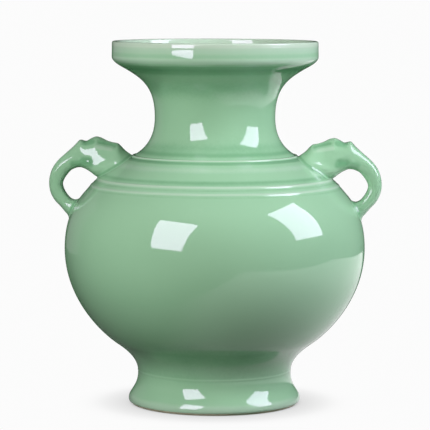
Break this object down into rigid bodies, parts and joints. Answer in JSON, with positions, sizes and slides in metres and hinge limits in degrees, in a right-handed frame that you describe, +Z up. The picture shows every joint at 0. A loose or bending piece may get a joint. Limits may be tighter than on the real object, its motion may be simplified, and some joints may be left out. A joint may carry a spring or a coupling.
{
  "type": "vase",
  "caption": "Glazed celadon porcelain vase with a dish mouth, ringed shoulder, round belly, flared foot and two elephant-head loop handles.",
  "frame": {"origin": "centre of the foot's standing face", "axes": "+Z up along the vase's axis, X through the two handles, Y towards the front and back"},
  "size_m": [0.2756, 0.2484, 0.3],
  "materials": {
    "celadon_glaze": "glossy pale green celadon glaze",
    "bare_clay": "wiped, unglazed fired clay"
  },
  "bodies": {
    "root": {"foot_ring": "bare_clay", "foot": "celadon_glaze", "lower_belly": "celadon_glaze", "upper_belly": "celadon_glaze", "shoulder": "celadon_glaze", "neck": "celadon_glaze", "mouth_dish": "celadon_glaze", "right_handle_head": "celadon_glaze", "right_handle_trunk": "celadon_glaze", "left_handle_head": "celadon_glaze", "left_handle_trunk": "celadon_glaze"}
  },
  "joints": []
}
